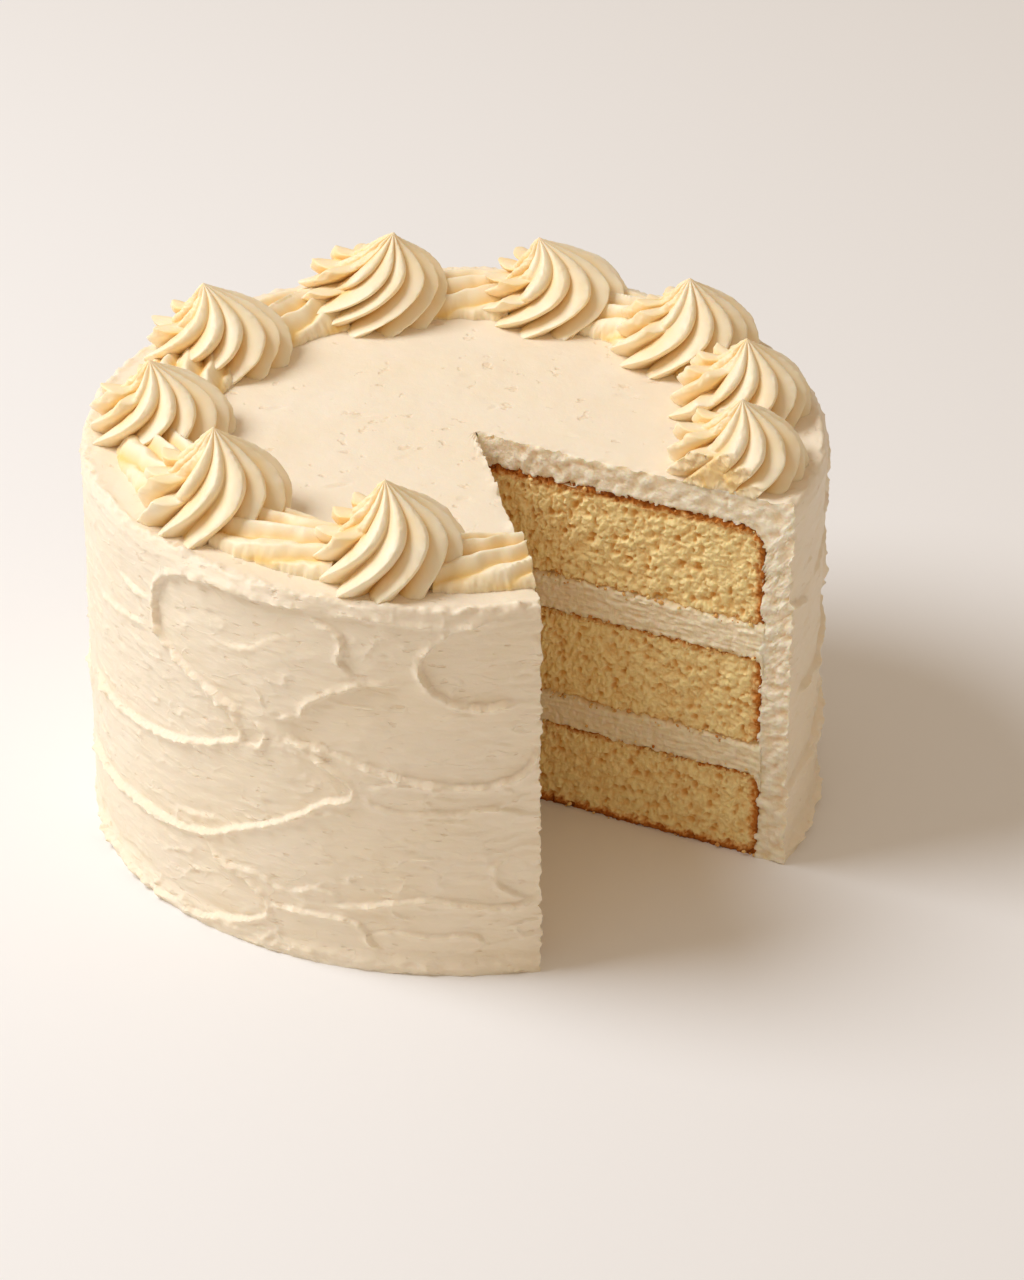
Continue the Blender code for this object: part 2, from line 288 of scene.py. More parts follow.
def makeCoatCream():
    # American buttercream, smoothed with a palette knife: satin, faintly grainy, with air pits
    material, tree, place = foodMaterial("smoothedButtercream", {
        "Roughness": 0.5, "IOR": 1.45, "Specular IOR Level": 0.4,
        "Subsurface Weight": 0.3, "Subsurface Radius": (1.0, 0.75, 0.5), "Subsurface Scale": 1.5 * mm,
    })
    patches = addNode(tree, "TexNoise", {"Scale": perMetre(24 * mm), "Detail": 3.0}, {"Vector": place})
    tone = addNode(tree, "Mix", {"data_type": "RGBA", 6: butter["coat"], 7: butter["coatWarm"]},
                   {0: patches})
    # fine drag marks lie flat round the side, so they are stretched in X and Y
    stretched = addNode(tree, "Mapping", {"Scale": (0.35, 0.35, 1.0)}, {"Vector": place})
    pits = addNode(tree, "TexNoise", {"Scale": perMetre(1.6 * mm), "Detail": 2.0}, {"Vector": stretched})
    pitMask = addNode(tree, "ValToRGB", {"stops": ((0.66, (0, 0, 0, 1)), (0.74, (1, 1, 1, 1)))},
                      {"Fac": pits})
    # painted shade: the pit mask that dents the surface also colours the pits darker and golden
    pitShadeShare = addNode(tree, "Math", {"operation": "MULTIPLY", 1: 0.20}, {0: pitMask})
    pitShaded = addNode(tree, "Mix", {"data_type": "RGBA", 7: butter["pitShade"]},
                      {0: pitShadeShare, 6: tone.outputs[2]})
    grainBump = grainRelief(tree, place, butter["grain"], 2.0, 0.25, 0.12 * mm)[0]
    dragBump, drag = grainRelief(tree, stretched, butter["drag"], 4.0, 0.85, 0.6 * mm,
                                 {"Normal": grainBump})
    pitBump = addNode(tree, "Bump", {"Strength": 0.6, "Distance": 0.4 * mm, "invert": True},
                      {"Height": pitMask, "Normal": dragBump})
    # thin lips where one pass of the knife ended on another, only on the side: the top was smoothed
    flattened = addNode(tree, "Mapping", {"Scale": (1.0, 1.0, 2.2)}, {"Vector": place})
    passes = addNode(tree, "TexNoise", {"Scale": perMetre(20 * mm), "Detail": 2.0}, {"Vector": flattened})
    level = addNode(tree, "Math", {"operation": "SUBTRACT", 1: 0.5}, {0: passes})
    away = addNode(tree, "Math", {"operation": "ABSOLUTE"}, {0: level})
    lips = addNode(tree, "MapRange", {"From Max": 0.022, "To Min": 1.0, "To Max": 0.0}, {"Value": away})
    broken = addNode(tree, "MapRange", {"From Min": 0.42, "From Max": 0.6}, {"Value": drag})
    height = addNode(tree, "SeparateXYZ", (), {"Vector": place})
    onSide = addNode(tree, "MapRange",
                     {"From Min": 110 * mm, "From Max": 114 * mm, "To Min": 1.0, "To Max": 0.0},
                     {"Value": height.outputs[2]})
    brokenLips = addNode(tree, "Math", {"operation": "MULTIPLY"}, {0: lips, 1: broken})
    sideLips = addNode(tree, "Math", {"operation": "MULTIPLY"}, {0: brokenLips, 1: onSide})
    lipBump = addNode(tree, "Bump", {"Strength": 0.4, "Distance": 0.3 * mm},
                      {"Height": sideLips, "Normal": pitBump})
    return coverFood(material, pitShaded.outputs[2], lipBump.outputs[0])


def makeCutCream(name, pale, deep, size):
    # buttercream torn by the knife: matt, crumbly, with small bubbles
    material, tree, place = foodMaterial(name, {
        "Roughness": 0.62, "IOR": 1.45, "Specular IOR Level": 0.35,
        "Subsurface Weight": 0.35, "Subsurface Radius": (1.0, 0.6, 0.3), "Subsurface Scale": 2.5 * mm,
    })
    # painted shade: the deep colour is mixed in where the cut surface lies low
    hollow = addNode(tree, "Attribute", {"attribute_name": "hollow"})
    tone = addNode(tree, "Mix", {"data_type": "RGBA", 6: pale, 7: deep}, {0: hollow.outputs["Fac"]})
    bump = grainRelief(tree, place, size, 4.0, 0.7, 0.5 * mm)[0]
    return coverFood(material, tone.outputs[2], bump)


def makePipedCream():
    # softer buttercream pressed through a star nozzle: silky crests, with golden shade painted into the
    # grooves
    material, tree, place = foodMaterial("pipedButtercream", {
        "Roughness": 0.42, "IOR": 1.45, "Specular IOR Level": 0.42,
        "Subsurface Weight": 0.4, "Subsurface Radius": (1.0, 0.75, 0.45), "Subsurface Scale": 1.6 * mm,
    })
    # painted shade in the grooves between the ridges, plus random golden patches of tone
    hollow = addNode(tree, "Attribute", {"attribute_name": "hollow"})
    patches = addNode(tree, "TexNoise", {"Scale": perMetre(9 * mm), "Detail": 2.0}, {"Vector": place})
    patchShare = addNode(tree, "MapRange", {"From Min": 0.35, "From Max": 0.7, "To Max": 0.25},
                         {"Value": patches})
    share = addNode(tree, "Math", {"operation": "ADD", "use_clamp": True},
                    {0: hollow.outputs["Fac"], 1: patchShare})
    tone = addNode(tree, "Mix", {"data_type": "RGBA", 6: butter["piped"], 7: butter["pipedDeep"]},
                   {0: share})
    bump = grainRelief(tree, place, butter["grain"], 2.0, 0.2, 0.12 * mm)[0]
    return coverFood(material, tone.outputs[2], bump)


sponge = {
    "crumb": toLinear("#FFE6A8"),      # pale yellow vanilla crumb
    "crumbDark": toLinear("#E6AA50"),  # painted shade: the crumb darkened down in its pores
    "gold": toLinear("#E2A04C"),       # just under the crust
    "toast": toLinear("#C67A30"),
    "crust": toLinear("#8A4A1C"),      # baked skin
    "grain": 0.7 * mm,
}


def makeSponge():
    # vanilla sponge: open matt crumb, baked golden-brown skin where it met the tin
    material, tree, place = foodMaterial("vanillaSponge", {
        "Roughness": 0.85, "IOR": 1.4, "Specular IOR Level": 0.2,
        "Subsurface Weight": 0.25, "Subsurface Radius": (1.0, 0.7, 0.4), "Subsurface Scale": 1.5 * mm,
    })
    # painted shade: the darker crumb colour is mixed in down in the pores and cracks
    hollow = addNode(tree, "Attribute", {"attribute_name": "hollow"})
    crust = addNode(tree, "Attribute", {"attribute_name": "crust"})
    tone = addNode(tree, "Mix", {"data_type": "RGBA", 6: sponge["crumb"], 7: sponge["crumbDark"]},
                   {0: hollow.outputs["Fac"]})
    baked = addNode(tree, "ValToRGB",
                    {"stops": ((0.0, sponge["gold"]), (0.6, sponge["toast"]), (1.0, sponge["crust"]))},
                    {"Fac": crust.outputs["Fac"]})
    bakedShare = addNode(tree, "MapRange", {"From Min": 0.05, "From Max": 0.6},
                         {"Value": crust.outputs["Fac"]})
    coloured = addNode(tree, "Mix", {"data_type": "RGBA"}, {0: bakedShare, 6: tone.outputs[2], 7: baked})
    bump = grainRelief(tree, place, sponge["grain"], 3.0, 0.8, 0.5 * mm)[0]
    return coverFood(material, coloured.outputs[2], bump)


coatCream = makeCoatCream()
cutCream = makeCutCream("tornButtercream", butter["cut"], butter["cutDeep"], 0.9 * mm)
fillingCream = makeCutCream("fillingButtercream", butter["filling"], butter["fillingDeep"], 1.0 * mm)
pipedCream = makePipedCream()
vanillaSponge = makeSponge()
say("materials")


# Each stroke is a raised lip of cream that a palette knife pushed up: points are (degrees round
# the cake, mm up the side), with the flattened patch on the left of the line as it runs on.
knifeMarks = {
    "lipHeight": 1.7,        # mm, of a strong lip
    "lipInner": 0.45,        # mm, steep side, towards the flattened patch
    "lipOuter": 1.25,        # mm, soft side
    "patchDepth": 0.8,       # mm that a fresh patch lies below its lip's outer side
    "patchFade": 11.0,       # mm over which a patch comes level again
    "strokes": (
        (1.1, ((-110, 112), (-122, 112.5), (-133, 111), (-138.5, 106), (-140.5, 99), (-140, 89),
               (-134, 82), (-127, 77), (-122, 73))),
        (0.9, ((-112, 110), (-107.5, 107), (-106, 103), (-106.5, 98), (-104, 92))),
        (1.0, ((-97, 93), (-100, 91.5), (-103.5, 91), (-108, 87), (-111.5, 83), (-113, 78.5), (-118, 75))),
        (1.3, ((-84, 112.5), (-88.5, 110.5), (-92, 106), (-94.5, 100), (-94, 94), (-91, 88.5), (-86, 86),
               (-79, 87))),
        (0.5, ((-91, 111), (-96, 110.5), (-103, 112), (-109, 110.5))),
        (1.0, ((-117, 69), (-112, 69), (-107, 68), (-102, 65), (-95, 62), (-88, 60.5), (-82, 62), (-78, 67),
               (-76.5, 76))),
        (0.45, ((-117, 72), (-114, 70), (-110, 66), (-106, 62))),
        (1.0, ((-166, 53), (-155, 52.5), (-147, 54), (-139, 56), (-132, 59.5), (-128, 62), (-124, 65.5),
               (-123.3, 69), (-126, 74), (-131, 77))),
        (0.7, ((-124, 65), (-120, 66), (-119, 70), (-122, 74))),
        (1.1, ((-170, 25), (-160, 25.5), (-147, 27.5), (-136, 29), (-130, 31.5), (-124, 37), (-118, 42),
               (-113, 48), (-109, 53), (-105.5, 55), (-105.3, 59), (-108, 63), (-113, 66))),
        (0.6, ((-103, 58), (-101.5, 54), (-97, 52), (-90, 53), (-84, 53.5), (-78, 51))),
        (0.45, ((-103.5, 59), (-98, 61.5), (-92, 60), (-94, 56.5), (-92, 53))),
        (0.4, ((-84, 61), (-81, 58), (-83, 54), (-88, 53))),
        (0.9, ((-109, 19.5), (-105, 20), (-100, 22.5), (-93, 24.5), (-86, 22.5), (-81, 22), (-77, 25))),
        (0.6, ((-80, 40), (-83, 36), (-83.5, 30), (-81, 26), (-77.5, 23))),
        (1.0, ((-168, 3.5), (-155, 3), (-144, 2.5), (-134, 2), (-128, 5), (-122.5, 8), (-119.5, 11.5),
               (-119.5, 16), (-123, 20.5), (-128, 24), (-131, 29))),
        (0.7, ((-118.5, 12), (-118, 15.5), (-111, 16), (-105.5, 15.5), (-103.5, 13), (-102.5, 9),
               (-100, 6))),
        (0.6, ((-103, 11), (-99, 13.5), (-93, 12.5), (-87, 13), (-85.5, 10), (-88, 7))),
        (0.55, ((-130, 27), (-125, 24), (-121, 24), (-116, 21), (-111, 24), (-106, 21.5))),
        (0.4, ((-90, 31), (-86, 31.5), (-83.5, 31))),
        (0.6, ((-152, 98), (-146, 96.5), (-141, 97))),
        (0.5, ((-160, 84), (-150, 86), (-143, 88))),
        (0.55, ((-137, 34), (-132, 35), (-127, 37))),
        (0.8, ((-78, 108), (-76.8, 103), (-77.2, 96))),
        (0.35, ((-127, 94), (-121, 96), (-117, 101), (-112, 103.5))),
    ),
    "pits": ((-142.5, 74, 2.4), (-151.5, 75, 2.0), (-128, 102, 2.2), (-84, 69.5, 2.2), (-103.5, 36, 2.2),
             (-109, 33, 2.0), (-96, 40, 1.8), (-79, 95, 2.2), (-118.5, 48, 2.0), (-94, 35, 1.4),
             (-99.5, 101, 1.4), (-116.5, 77, 1.6), (-133, 16, 1.6)),
    # the strokes again on the sides and back: degrees they are moved by, mirrored or not, mm up
    "repeats": ((142, False, 0), (0, True, 0)),
    "backStrokes": 14,       # and a few more at random places there
    "backPits": 26,
    "backFrom": -74.0,       # degrees, the unseen part runs on from here to backTo
    "backTo": 188.0,
}
topMarks = {
    # shallow scratches and pits in the smoothed top: x, y, length, heading in degrees, depth (mm)
    "scratches": ((-27, 7, 4.5, 20, 0.5), (-32, -35, 6.0, 12, 0.6), (3, -43, 3.5, 0, 0.5),
                  (-6, 16, 3.0, 15, 0.4), (-51, 12, 5.0, 24, 0.45), (4, 33, 5.5, 3, 0.4),
                  (49, 20, 6.5, -6, 0.5), (11, 13, 2.6, 8, 0.45), (57, 29, 4.0, 12, 0.45),
                  (-57, -79, 2.0, 0, 0.6), (-39, 20, 9.0, 26, 0.2), (22, 52, 7.0, 10, 0.25),
                  (-20, 45, 6.0, 22, 0.25), (33, -5, 4.0, -20, 0.3), (-14, -18, 5.0, 30, 0.2)),
    "wave": 0.35,             # mm, slow unevenness of the top
    "rimLumps": 1.2,          # mm, lumpy ridge left along the edge
}


def smoothLine(points, spacing=0.8, jitter=0.35):
    # even points along a curve through a few given ones, a little ragged, in mm
    points = np.asarray(points, float)
    padded = np.vstack([2 * points[0] - points[1], points, 2 * points[-1] - points[-2]])
    line = []
    for a, b, c, d in zip(padded, padded[1:], padded[2:], padded[3:]):
        count = max(2, int(np.hypot(*(c - b)) / spacing))
        for t in np.arange(count) / count:
            line.append(0.5 * (2 * b + (c - a) * t + (2 * a - 5 * b + 4 * c - d) * t * t
                               + (3 * b - a - 3 * c + d) * t ** 3))
    line = np.array(line + [points[-1]])
    for i, p in enumerate(line):
        wobble = noise.noise_vector(Vector((p[0] / 3.1, p[1] / 3.1, 4.2)))
        fine = noise.noise_vector(Vector((p[0] / 1.3, p[1] / 1.3, 9.7)))
        line[i] = p + jitter * (1.3 * np.array(wobble[:2]) + 0.7 * np.array(fine[:2]))
    return line


def nearLine(x, y, line):
    # distance to a line (+ on its left), and how far along it the nearest point is (mm)
    best = np.full(len(x), 1e9)
    side = np.zeros(len(x))
    travel = np.zeros(len(x))
    walked = 0.0
    for (ax, ay), (bx, by) in zip(line, line[1:]):
        dx, dy = bx - ax, by - ay
        length = max(1e-6, np.hypot(dx, dy))
        t = np.clip(((x - ax) * dx + (y - ay) * dy) / length ** 2, 0, 1)
        gap = np.hypot(x - ax - t * dx, y - ay - t * dy)
        nearer = gap < best
        best = np.where(nearer, gap, best)
        side = np.where(nearer, np.sign(dx * (y - ay) - dy * (x - ax)), side)
        travel = np.where(nearer, walked + t * length, travel)
        walked += length
    return best * side, travel, walked


def strokeRelief(x, y, strength, line, seedShift):
    # height in mm that one knife stroke adds: a beaded lip, and the patch beside it pressed in
    m = knifeMarks
    reach = m["patchFade"] * 1.6
    height = np.zeros(len(x))
    low, high = line.min(0) - reach, line.max(0) + reach
    close = (x > low[0]) & (x < high[0]) & (y > low[1]) & (y < high[1])
    if not close.any():
        return height
    gap, travel, length = nearLine(x[close], y[close], line)
    beads = np.array([noise.noise((t / 3.4, seedShift, 0.0)) + 0.3 * noise.noise((t / 1.1, seedShift, 5.0))
                      for t in np.linspace(0, length, 200)])
    bead = np.interp(travel, np.linspace(0, length, 200), beads)
    fade = smoothStep(0, 6, travel) * smoothStep(0, 6, length - travel)
    lip = np.where(gap > 0, np.exp(-(gap / m["lipInner"]) ** 2), np.exp(-(gap / m["lipOuter"]) ** 2))
    lip = lip * m["lipHeight"] * np.clip(0.66 + 0.75 * bead, 0.25, 1.5)
    patch = np.where(gap > 0, -np.exp(-gap / m["patchFade"]), 0.35 * np.exp(gap / (0.4 * m["patchFade"])))
    patch = patch * m["patchDepth"] * smoothStep(0, 0.8, np.abs(gap))
    height[close] = strength * (0.25 + 0.75 * fade) * (lip * fade + patch)
    return height


def onWall(degreesRound, up):
    # place on the unrolled side, in mm
    return radians(degreesRound) * cake["radius"] / mm, up


def wallStrokes():
    # listed strokes on the seen side, and seeded ones of the same kind all the way round
    strokes = []
    for strength, points in knifeMarks["strokes"]:
        strokes.append((strength, smoothLine([onWall(a, z) for a, z in points])))
        for shift, mirrored, raised in knifeMarks["repeats"]:
            moved = [(-a + shift if mirrored else a + shift, z + raised) for a, z in points]
            if mirrored:
                moved.reverse()
            strokes.append((strength, smoothLine([onWall(a, z) for a, z in moved])))
    rng = np.random.default_rng(23)
    for k in range(knifeMarks["backStrokes"]):
        share = (k + rng.uniform(0.1, 0.9)) / knifeMarks["backStrokes"]
        middle = knifeMarks["backFrom"] + share * (knifeMarks["backTo"] - knifeMarks["backFrom"])
        up = (12, 52, 90, 32, 72, 104)[k % 6] + rng.uniform(-7, 7)
        long, tall = rng.uniform(15, 27), rng.uniform(6, 11)
        flip = 1 if rng.random() < 0.75 else -1
        points = []
        for angle in np.radians([115, 150, 180, 215, 250, 275]):
            points.append((flip * long * cos(angle) * 0.6, tall * sin(angle)))
        points.append((flip * long * rng.uniform(0.6, 1.0), -tall * rng.uniform(0.7, 1.1)))
        tilt = radians(rng.uniform(-14, 10))
        centreX, centreUp = onWall(middle, up)
        turned = []
        for a, b in (points if flip > 0 else points[::-1]):
            place = centreUp + a * sin(tilt) + b * cos(tilt)
            turned.append((centreX + a * cos(tilt) - b * sin(tilt), min(112, max(3, place))))
        strokes.append((rng.uniform(0.6, 1.15), smoothLine(turned)))
    return strokes


def wallRelief(x, v, angle):
    # mm in or out of the side: x runs round the cake, v up the side and over the rim (mm)
    p = np.stack([np.cos(angle) * 105, np.sin(angle) * 105, v], 1)
    height = 0.4 * lumps(p, (34, 34, 15), 2, 3.0) + 0.2 * lumps(p, (9, 9, 4), 3, 8.0)
    height += 0.12 * lumps(p, (7, 7, 1.1), 2, 18.0)  # fine drag marks
    creases = (1 - np.abs(lumps(p, (17, 17, 7), 2, 44.0))) ** 14  # older, half-smoothed lips
    height += 0.8 * creases * np.clip(0.3 + 1.2 * lumps(p, (14, 14, 9), 1, 52.0), 0, 1)
    for k, (strength, line) in enumerate(wallStrokes()):
        height += strokeRelief(x, v, strength, line, 1.7 * k)
    pits = [(radians(a) * 105.5, z, size) for a, z, size in knifeMarks["pits"]]
    rng = np.random.default_rng(5)
    for k in range(knifeMarks["backPits"]):
        a = rng.uniform(knifeMarks["backFrom"], knifeMarks["backTo"])
        pits.append((radians(a) * 105.5, rng.uniform(8, 106), rng.uniform(1.2, 2.4)))
    for px, pz, size in pits:
        gap = np.hypot((x - px) / size, (v - pz) / (0.5 * size))
        height += -0.55 * np.exp(-gap ** 2 * 1.6) + 0.12 * np.exp(-(gap - 1.5) ** 2 * 3) * (v > pz)
    # skirt of cream dragged along the foot
    skirt = np.clip(0.55 + lumps(p, (5, 5, 3), 3, 15.0), 0, 2)
    height += 0.9 * skirt * np.exp(-((v - 3.2) / 1.8) ** 2) - 0.5 * np.exp(-((v - 7) / 2.0) ** 2)
    height += 0.5 * lumps(p, (3.5, 3.5, 2.5), 2, 21.0) * np.exp(-(v / 2.0) ** 2)
    # thin double ridge under and on the rim
    wave = 1.4 * np.sin(angle * 5.0 + 0.6) + 0.9 * np.sin(angle * 13.0)
    ragged = np.clip(0.45 + 0.9 * lumps(p, (5, 5, 2.2), 3, 31.0), 0, 1.6)
    raggedTop = np.clip(0.5 + 0.9 * lumps(p, (4, 4, 2), 3, 37.0), 0, 1.6)
    height += 0.55 * ragged * np.exp(-((v - 112.2 - 0.5 * wave) / 0.9) ** 2)
    height += topMarks["rimLumps"] * raggedTop * np.exp(-((v - 116.3 - 0.35 * wave) / 1.3) ** 2)
    return height


def topRelief(xy):
    # mm up or down of the smoothed top
    p = np.column_stack([xy / mm, np.zeros(len(xy))])
    height = topMarks["wave"] * lumps(p, 30, 2, 2.0) + 0.07 * lumps(p, 6, 2, 6.0)
    for x, y, length, heading, depth in topMarks["scratches"]:
        c, s = cos(radians(heading)), sin(radians(heading))
        along = (p[:, 0] - x) * c + (p[:, 1] - y) * s
        off = -(p[:, 0] - x) * s + (p[:, 1] - y) * c
        dent = np.exp(-(along / (0.5 * length)) ** 4 - (off / 0.75) ** 2)
        lip = np.exp(-(along / (0.6 * length)) ** 4 - ((off - 1.3) / 0.7) ** 2)
        height += -depth * dent + 0.3 * depth * lip
    return height


def tornRelief(r, z, turn, shift):
    # mm out of a cut face of cream: lumps and small craters where the knife tore it
    p = np.column_stack([r / mm, np.where(turn < 0.5, 0.0, 60.0), z / mm])
    torn = 0.85 * lumps(p, (3.4, 3.4, 2.8), 3, shift) + 0.4 * lumps(p, (1.3, 1.3, 1.3), 2, shift + 7)
    return torn


coatMesh = {
    "wallStep": 0.53 * mm * coarse,
    "rimStep": 0.5 * mm * coarse,
    "topStep": 1.2 * mm * coarse,
    "acrossSteps": int(13 / coarse),
    "turnSteps": int(660 / coarse),
    "frontDensity": 2.0,               # columns are this much closer on the seen side
    "frontFrom": radians(168),         # the seen side runs from here to the left cut face
    "sweep": radians(307),             # from one cut face round to the other
    "seam": radians(188),              # the side is unrolled from here
    "triangles": 194000,
    "smear": 1.4 * mm,                 # the cut face is smeared over the crust by this much
    "cutPull": 3.5 * mm,               # the knife pulled the skin along this far from the cut
}


def buildCoat():
    m = coatMesh
    radius, top, rim = cake["radius"], cake["top"], cake["rim"]
    wallLength, rimLength, topLength = top - rim, rim * pi / 2, radius - rim
    rows = [wallLength / m["wallStep"], rimLength / m["rimStep"], topLength / m["topStep"]]
    alongSteps = int(sum(rows))
    mesh, along, across, turn = spunWedge("buttercream_coat", alongSteps, m["acrossSteps"], m["turnSteps"],
                                          hidden=(1,))
    # rows: even spacing within the side, the rim and the top
    shares = np.cumsum([0] + rows) / sum(rows)
    lengths = np.cumsum([0, wallLength, rimLength, topLength])
    v = np.interp(along, shares, lengths)
    # columns: closer together on the seen side
    spread = np.linspace(0, 1, 721)
    around = cake["cutRight"] + spread * (2 * pi + cake["cutLeft"] - cake["cutRight"])
    weight = 1 + (m["frontDensity"] - 1) * smoothStep(m["frontFrom"] - 0.3, m["frontFrom"], around)
    # equal turns of the spin are spent in proportion to the weight
    cumulative = np.concatenate([[0], np.cumsum(weight[1:])])
    turn = np.interp(turn * cumulative[-1], cumulative, spread)
    # outer skin, inner skin, and the torn strip between them
    bend = np.clip((v - wallLength) / rimLength, 0, 1) * pi / 2
    onTop = radius - rim - (v - wallLength - rimLength)
    outerR = np.where(v < wallLength + rimLength, radius - rim + rim * np.cos(bend), onTop)
    outerZ = np.where(v < wallLength, v, top - rim + rim * np.sin(bend))
    innerRadius, innerTop = cake["spongeRadius"] - m["smear"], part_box("sponge_top")[1].z - m["smear"]
    corner = cake["topShoulder"]
    wallShare = np.clip(v / wallLength, 0, 1)
    topShare = np.clip((v - wallLength - rimLength) / topLength, 0, 1)
    innerR = (innerRadius - corner + corner * np.cos(bend)) * (1 - topShare)
    innerZ = wallShare * (innerTop - corner) + corner * np.sin(bend)
    r = outerR * (1 - across) + innerR * across
    z = outerZ * (1 - across) + innerZ * across
    xy, angle = seat(np.maximum(r, 0), turn)
    # knife marks on the outer skin, fading out through the thickness
    skin = np.flatnonzero(across < 0.6)
    fade = 1 - across[skin] / 0.6
    x = angle[skin] * radius / mm
    x = np.where(x > m["seam"] * radius / mm, x - 2 * pi * radius / mm, x)
    vs = v[skin] / mm
    wallPart = 1 - smoothStep((lengths[2] + 1 * mm) / mm, (lengths[2] + 5 * mm) / mm, vs)
    wall = np.zeros(len(skin))
    near = wallPart > 0
    wall[near] = wallRelief(x[near], vs[near], angle[skin][near])
    upper = topRelief(xy[skin]) * smoothStep((lengths[1] + 1 * mm) / mm, (lengths[2] + 6 * mm) / mm, vs)
    out = wall * wallPart * fade * mm
    up = upper * fade * mm
    tilt = bend[skin]
    outward = xy[skin] / axisGap(xy[skin])
    xy[skin] += outward * (out * np.cos(tilt))[:, None]
    z[skin] += out * np.sin(tilt) + up
    z = np.maximum(z, 0)
    # torn cut faces, which pull the skin beside them along
    gapToCut = np.minimum(turn, 1 - turn) * m["sweep"] * np.maximum(r, 2 * mm)
    edge = np.flatnonzero(gapToCut < m["cutPull"])
    pull = 1 - gapToCut[edge] / m["cutPull"]
    torn = tornRelief(r[edge], z[edge], turn[edge], 3.0)
    torn -= 2.0 * smoothStep(0.86, 1.0, across[edge] - 0.10 * torn)
    tipFade = smoothStep(0.5 * mm, 6 * mm, r[edge])
    hollow = np.zeros(len(r))
    # painted shade in the craters of the torn cut face
    hollow[edge] = np.clip(0.2 - torn * 0.7, 0, 1)
    push = torn * tipFade * pull ** 1.5 * mm
    xy[edge] += cutNormal(turn[edge]) * push[:, None]
    # the torn upper edge stands up in small teeth
    flat = r[edge] * 0
    teeth = np.clip(lumps(np.column_stack([r[edge] / mm, turn[edge] * 90, flat]), 2.4, 2, 44), -0.4, 1)
    side = (v[edge] < lengths[1]) * (1 - across[edge]) ** 3 * pull ** 2
    jag = lumps(np.column_stack([v[edge] / mm, turn[edge] * 90, flat]), 2.2, 3, 51) * side * 0.9 * mm
    xy[edge] += jag[:, None] * xy[edge] / axisGap(xy[edge])
    z[edge] += 0.9 * mm * teeth * (v[edge] > lengths[1]) * (1 - across[edge]) ** 3 * pull ** 2
    shapeWedge(mesh, xy, z, hollow=hollow)
    piece = addPiece(mesh, [coatCream, cutCream])
    thinOut(piece, m["triangles"])
    piece.data.set_sharp_from_angle(angle=radians(62))
    settle(piece, "coat_cream", "frosting_coat")


buildCoat()
say("coat")


crumbLook = {
    "cell": 0.36 * mm * coarse,        # mesh size on the cut faces
    "turnSteps": 28,                   # round the cake, where nothing shows
    "clump": 3.6 * mm,                 # size of the crumb clumps the knife pulls up
    "clumpHeight": 0.55,               # mm
    "grain": 1.5 * mm,
    "grainHeight": 0.2,                # mm
    "poresPerCm2": 16,                 # open air holes
    "poreSize": (0.35, 1.25),          # mm, smallest and largest radius
    "poreDepth": 1.35,                 # mm, of the largest
}
layers = {
    # crust widths in mm, as (width, how dark) at the top, side and bottom of each sponge
    "sponge_bottom": {"top": (1.6, 0.6), "side": (3.6, 0.85), "bottom": (3.2, 0.95), "shift": 0.0},
    "sponge_middle": {"top": (1.6, 0.6), "side": (3.5, 0.85), "bottom": (1.0, 0.35), "shift": 31.0},
    "sponge_top": {"top": (3.2, 1.0), "side": (3.5, 0.9), "bottom": (1.0, 0.35), "shift": 67.0},
}


def shoulderDrop(r, outer, shoulder):
    # how far a rounded upper edge has dropped at radius r
    past = np.clip(r - (outer - shoulder), 0, shoulder)
    return shoulder - np.sqrt(shoulder ** 2 - past ** 2)


def crevices(points, size):
    # 0 in the cracks between clumps, about 1 on them
    scaled = points / size
    warp = 0.35 * lumps(scaled * 1.7, 1.0, 2, 5.0)
    scaled = scaled + warp[:, None]
    found = [noise.voronoi(p)[0] for p in scaled.tolist()]
    gaps = np.array([f[1] - f[0] for f in found])
    return smoothStep(0.0, 0.45, gaps)


def poreDepths(points, low, high, rng):
    # air holes as soft round pits at random places on a cut face (mm)
    area = (high[0] - low[0]) * (high[1] - low[1]) / 100
    count = int(area * crumbLook["poresPerCm2"])
    small, large = crumbLook["poreSize"]
    depth = np.zeros(len(points))
    warped = points.copy()
    warped[:, 0] += 0.35 * lumps(points, 1.6, 2, 3.0)
    warped[:, 2] += 0.35 * lumps(points, 1.6, 2, 13.0)
    for k in range(count):
        size = small + (large - small) * rng.random() ** 2.2
        x, z = rng.uniform(low[0], high[0]), rng.uniform(low[1], high[1])
        stretch = rng.uniform(0.7, 1.4)
        dx, dz = warped[:, 0] - x, warped[:, 2] - z
        close = np.flatnonzero((np.abs(dx) < 2 * size) & (np.abs(dz) < 2 * size))
        gap = (dx[close] / (size * stretch)) ** 2 + (dz[close] / (size / stretch)) ** 2
        depth[close] = np.maximum(depth[close], size / large * np.clip(1 - gap, 0, 1) ** 0.7)
    return depth * crumbLook["poreDepth"]


